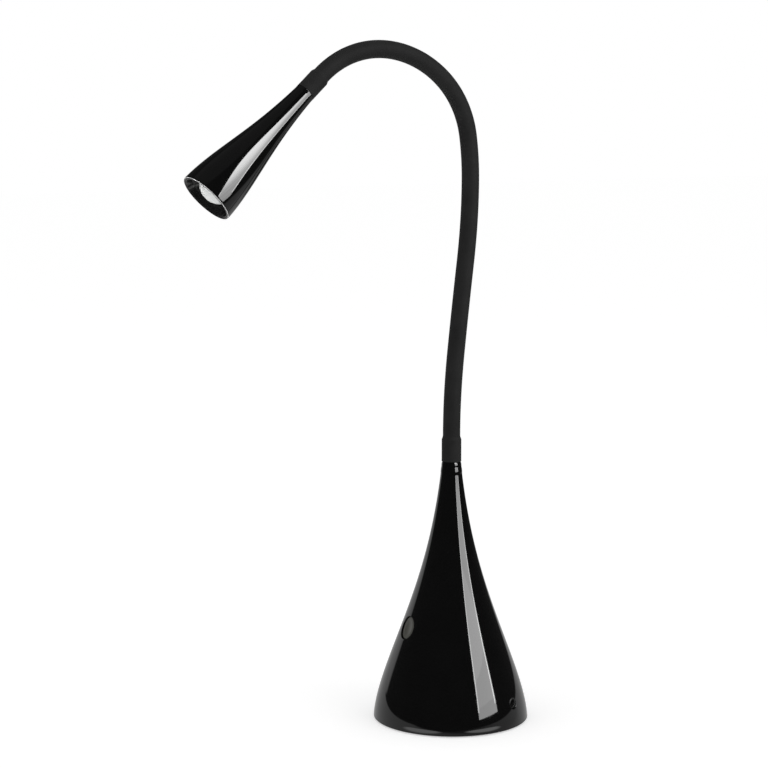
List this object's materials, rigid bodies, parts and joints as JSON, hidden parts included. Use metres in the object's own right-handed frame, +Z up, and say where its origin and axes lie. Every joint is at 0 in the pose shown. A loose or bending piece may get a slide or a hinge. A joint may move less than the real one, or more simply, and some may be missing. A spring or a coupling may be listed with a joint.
{
  "type": "gooseneck desk lamp",
  "caption": "Desk lamp with a bell-shaped weighted base, a push button, a sleeved bendable gooseneck and a bell-shaped head with a domed lens.",
  "frame": {"origin": "centre of the foot pad's face, on the surface that the lamp stands on", "axes": "+Z up; the neck bends in the XZ plane and the head reaches towards -X"},
  "size_m": [0.269, 0.1148, 0.4993],
  "materials": {
    "gloss_black": "polished piano black",
    "button_grey": "satin moulded",
    "silicone": "matte silicone",
    "lead_black": "matte jacket",
    "foot_rubber": "fine-grained rubber",
    "plate_steel": "black coated sheet",
    "cast_iron": "raw casting",
    "screw_steel": "zinc plated",
    "spring_steel": "drawn wire",
    "core_steel": "oiled steel",
    "circuit_board": "solder mask",
    "component_black": "moulded",
    "inner_plastic": "moulded",
    "plated_brass": "nickel plated",
    "frosted_lens": "frosted acrylic",
    "white_plastic": "moulded",
    "board_aluminium": "white coated",
    "led_yellow": "phosphor",
    "sink_aluminium": "turned"
  },
  "bodies": {
    "base": {"base_shell": "gloss_black", "foot_pad": "foot_rubber", "base_plate": "plate_steel", "ballast_weight": "cast_iron", "plate_screws": "screw_steel", "ballast_screws": "screw_steel", "driver_board": "circuit_board", "driver_components": "component_black", "board_screws": "screw_steel", "dc_inlet": "component_black", "dc_inlet_pin": "plated_brass", "switch_spring": "spring_steel", "switch_guide": "inner_plastic", "switch_board": "circuit_board", "tact_switch": "component_black", "switch_screws": "screw_steel", "base_lead": "lead_black", "switch_lead": "lead_black", "lower_ferrule": "plated_brass", "lower_washer": "screw_steel", "lower_nut": "plated_brass", "neck_sleeve": "silicone", "neck_lead": "lead_black"},
    "button": {"switch_cap": "button_grey"},
    "link_01": {"neck_link_01": "core_steel"},
    "link_02": {"neck_link_02": "core_steel"},
    "link_03": {"neck_link_03": "core_steel"},
    "link_04": {"neck_link_04": "core_steel"},
    "link_05": {"neck_link_05": "core_steel"},
    "link_06": {"neck_link_06": "core_steel"},
    "link_07": {"neck_link_07": "core_steel"},
    "link_08": {"neck_link_08": "core_steel"},
    "link_09": {"neck_link_09": "core_steel"},
    "link_10": {"neck_link_10": "core_steel"},
    "link_11": {"neck_link_11": "core_steel"},
    "link_12": {"neck_link_12": "core_steel"},
    "link_13": {"neck_link_13": "core_steel"},
    "link_14": {"neck_link_14": "core_steel"},
    "link_15": {"neck_link_15": "core_steel"},
    "link_16": {"neck_link_16": "core_steel"},
    "link_17": {"neck_link_17": "core_steel"},
    "link_18": {"neck_link_18": "core_steel"},
    "link_19": {"neck_link_19": "core_steel"},
    "link_20": {"neck_link_20": "core_steel"},
    "link_21": {"neck_link_21": "core_steel"},
    "link_22": {"neck_link_22": "core_steel"},
    "link_23": {"neck_link_23": "core_steel"},
    "head": {"upper_ferrule": "plated_brass", "upper_washer": "screw_steel", "upper_nut": "plated_brass", "head_shell": "gloss_black", "mouth_ring": "gloss_black", "lens": "frosted_lens", "lens_spacer": "white_plastic", "led_board": "board_aluminium", "led": "led_yellow", "led_screws": "screw_steel", "heat_sink": "sink_aluminium", "head_lead": "lead_black"}
  },
  "joints": [
    {"name": "lower_bend", "type": "hinge", "parent": "base", "child": "link_01", "pos_m": [0, 0, 0.2201], "axis": [0, -1, 0], "range_deg": [-9, 9], "deforming": ["neck_sleeve", "neck_lead"]},
    {"name": "side_bend", "type": "hinge", "parent": "link_01", "child": "link_02", "pos_m": [0.00045, 0, 0.23581], "axis": [0.9991, 0, -0.0432], "range_deg": [-9, 9], "deforming": ["neck_sleeve", "neck_lead"]},
    {"name": "lower_bend_2", "type": "hinge", "parent": "link_02", "child": "link_03", "pos_m": [0.00136, 0, 0.25149], "axis": [0, -1, 0], "range_deg": [-9, 9]},
    {"name": "side_bend_2", "type": "hinge", "parent": "link_03", "child": "link_04", "pos_m": [0.00271, 0, 0.26714], "axis": [0.9952, 0, -0.0984], "range_deg": [-9, 9]},
    {"name": "lower_bend_3", "type": "hinge", "parent": "link_04", "child": "link_05", "pos_m": [0.00445, 0, 0.28275], "axis": [0, -1, 0], "range_deg": [-9, 9]},
    {"name": "side_bend_3", "type": "hinge", "parent": "link_05", "child": "link_06", "pos_m": [0.00624, 0, 0.29836], "axis": [0.9932, 0, -0.1163], "range_deg": [-9, 9]},
    {"name": "lower_bend_4", "type": "hinge", "parent": "link_06", "child": "link_07", "pos_m": [0.0081, 0, 0.31395], "axis": [0, -1, 0], "range_deg": [-9, 9]},
    {"name": "side_bend_4", "type": "hinge", "parent": "link_07", "child": "link_08", "pos_m": [0.01002, 0, 0.32954], "axis": [0.9923, 0, -0.124], "range_deg": [-9, 9]},
    {"name": "lower_bend_5", "type": "hinge", "parent": "link_08", "child": "link_09", "pos_m": [0.012, 0, 0.34513], "axis": [0, -1, 0], "range_deg": [-9, 9]},
    {"name": "side_bend_5", "type": "hinge", "parent": "link_09", "child": "link_10", "pos_m": [0.01361, 0, 0.36075], "axis": [0.9963, 0, -0.0859], "range_deg": [-9, 9]},
    {"name": "lower_bend_6", "type": "hinge", "parent": "link_10", "child": "link_11", "pos_m": [0.01469, 0, 0.37642], "axis": [0, -1, 0], "range_deg": [-9, 9]},
    {"name": "side_bend_6", "type": "hinge", "parent": "link_11", "child": "link_12", "pos_m": [0.01525, 0, 0.39212], "axis": [0.9998, 0, -0.0184], "range_deg": [-9, 9]},
    {"name": "upper_bend", "type": "hinge", "parent": "link_12", "child": "link_13", "pos_m": [0.01527, 0, 0.40783], "axis": [0, -1, 0], "range_deg": [-15, 1.5], "deforming": ["neck_sleeve", "neck_lead"]},
    {"name": "upper_bend_2", "type": "hinge", "parent": "link_13", "child": "link_14", "pos_m": [0.01418, 0, 0.4235], "axis": [0, -1, 0], "range_deg": [-15, 1.5]},
    {"name": "upper_bend_3", "type": "hinge", "parent": "link_14", "child": "link_15", "pos_m": [0.01192, 0, 0.43905], "axis": [0, -1, 0], "range_deg": [-15, 1.5]},
    {"name": "upper_bend_4", "type": "hinge", "parent": "link_15", "child": "link_16", "pos_m": [0.00625, 0, 0.45369], "axis": [0, -1, 0], "range_deg": [-15, 1.5]},
    {"name": "upper_bend_5", "type": "hinge", "parent": "link_16", "child": "link_17", "pos_m": [-0.00257, 0, 0.4667], "axis": [0, -1, 0], "range_deg": [-15, 1.5]},
    {"name": "upper_bend_6", "type": "hinge", "parent": "link_17", "child": "link_18", "pos_m": [-0.01407, 0, 0.4774], "axis": [0, -1, 0], "range_deg": [-15, 1.5]},
    {"name": "top_bend", "type": "hinge", "parent": "link_18", "child": "link_19", "pos_m": [-0.02748, 0, 0.48556], "axis": [0, -1, 0], "range_deg": [-20, 1.2], "deforming": ["neck_sleeve", "neck_lead"]},
    {"name": "top_bend_2", "type": "hinge", "parent": "link_19", "child": "link_20", "pos_m": [-0.04224, 0, 0.49094], "axis": [0, -1, 0], "range_deg": [-20, 1.2]},
    {"name": "top_bend_3", "type": "hinge", "parent": "link_20", "child": "link_21", "pos_m": [-0.05777, 0, 0.49332], "axis": [0, -1, 0], "range_deg": [-20, 1.2]},
    {"name": "top_bend_4", "type": "hinge", "parent": "link_21", "child": "link_22", "pos_m": [-0.07345, 0, 0.4923], "axis": [0, -1, 0], "range_deg": [-20, 1.2]},
    {"name": "top_bend_5", "type": "hinge", "parent": "link_22", "child": "link_23", "pos_m": [-0.08849, 0, 0.48776], "axis": [0, -1, 0], "range_deg": [-20, 1.2]},
    {"name": "top_bend_6", "type": "hinge", "parent": "link_23", "child": "head", "pos_m": [-0.10211, 0, 0.47995], "axis": [0, -1, 0], "range_deg": [-20, 1.2]},
    {"name": "button_press", "type": "slide", "parent": "base", "child": "button", "axis": [0.9331, -0.0981, -0.3459], "range_m": [0, 0.0015], "stiffness_N_per_m": 1000, "springref_m": -0.001, "deforming": ["switch_spring"]}
  ],
  "couplings": [
    {"joint": "lower_bend_2", "follows": "lower_bend", "ratio": 1},
    {"joint": "side_bend_2", "follows": "side_bend", "ratio": 1},
    {"joint": "lower_bend_3", "follows": "lower_bend", "ratio": 1},
    {"joint": "side_bend_3", "follows": "side_bend", "ratio": 1},
    {"joint": "lower_bend_4", "follows": "lower_bend", "ratio": 1},
    {"joint": "side_bend_4", "follows": "side_bend", "ratio": 1},
    {"joint": "lower_bend_5", "follows": "lower_bend", "ratio": 1},
    {"joint": "side_bend_5", "follows": "side_bend", "ratio": 1},
    {"joint": "lower_bend_6", "follows": "lower_bend", "ratio": 1},
    {"joint": "side_bend_6", "follows": "side_bend", "ratio": 1},
    {"joint": "upper_bend_2", "follows": "upper_bend", "ratio": 1},
    {"joint": "upper_bend_3", "follows": "upper_bend", "ratio": 1},
    {"joint": "upper_bend_4", "follows": "upper_bend", "ratio": 1},
    {"joint": "upper_bend_5", "follows": "upper_bend", "ratio": 1},
    {"joint": "upper_bend_6", "follows": "upper_bend", "ratio": 1},
    {"joint": "top_bend_2", "follows": "top_bend", "ratio": 1},
    {"joint": "top_bend_3", "follows": "top_bend", "ratio": 1},
    {"joint": "top_bend_4", "follows": "top_bend", "ratio": 1},
    {"joint": "top_bend_5", "follows": "top_bend", "ratio": 1},
    {"joint": "top_bend_6", "follows": "top_bend", "ratio": 1}
  ]
}
